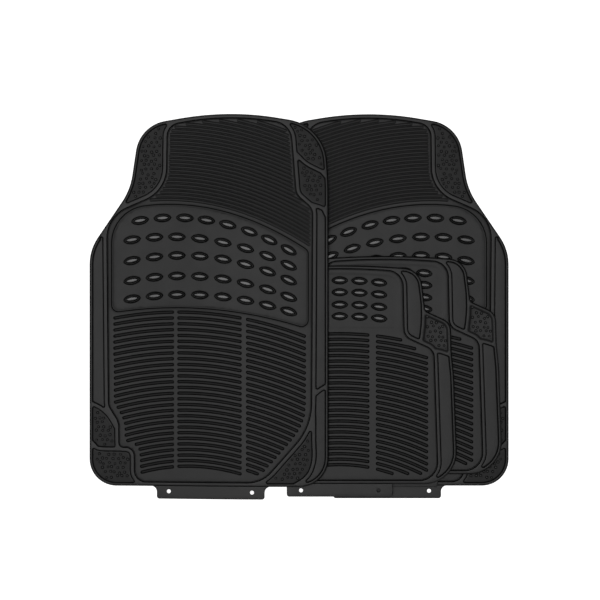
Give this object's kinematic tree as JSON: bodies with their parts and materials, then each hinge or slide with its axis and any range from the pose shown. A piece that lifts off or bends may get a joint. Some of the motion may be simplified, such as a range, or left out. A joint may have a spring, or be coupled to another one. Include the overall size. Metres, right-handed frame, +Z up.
{
  "type": "floor mat set",
  "caption": "Moulded rubber vehicle floor mats, front and rear, laid in an overlapping pile, with rims, rails, grip nubs and drilled fixing tabs.",
  "frame": {"origin": "on the ground under the middle of the whole set, tabs included", "axes": "+Y towards the mats' toe end, +X to the right of someone looking down with the toe end up, +Z up"},
  "size_m": [0.7814, 0.7162, 0.0292],
  "materials": {
    "front_mat_rubber": "satin moulded black",
    "rear_mat_rubber": "satin moulded black"
  },
  "bodies": {
    "front_right": {"front_right_mat": "front_mat_rubber"},
    "rear_right": {"rear_right_mat": "rear_mat_rubber"},
    "rear_left": {"rear_left_mat": "rear_mat_rubber"},
    "front_left": {"front_left_mat": "front_mat_rubber"}
  },
  "joints": [
    {"name": "lift_rear_right", "type": "slide", "parent": "front_right", "child": "rear_right", "axis": [0, 0, 1], "range_m": [0, 0.2]},
    {"name": "lift_rear_left", "type": "slide", "parent": "rear_right", "child": "rear_left", "axis": [0, 0, 1], "range_m": [0, 0.2]},
    {"name": "lift_front_left", "type": "slide", "parent": "rear_left", "child": "front_left", "axis": [0, 0, 1], "range_m": [0, 0.2]}
  ]
}
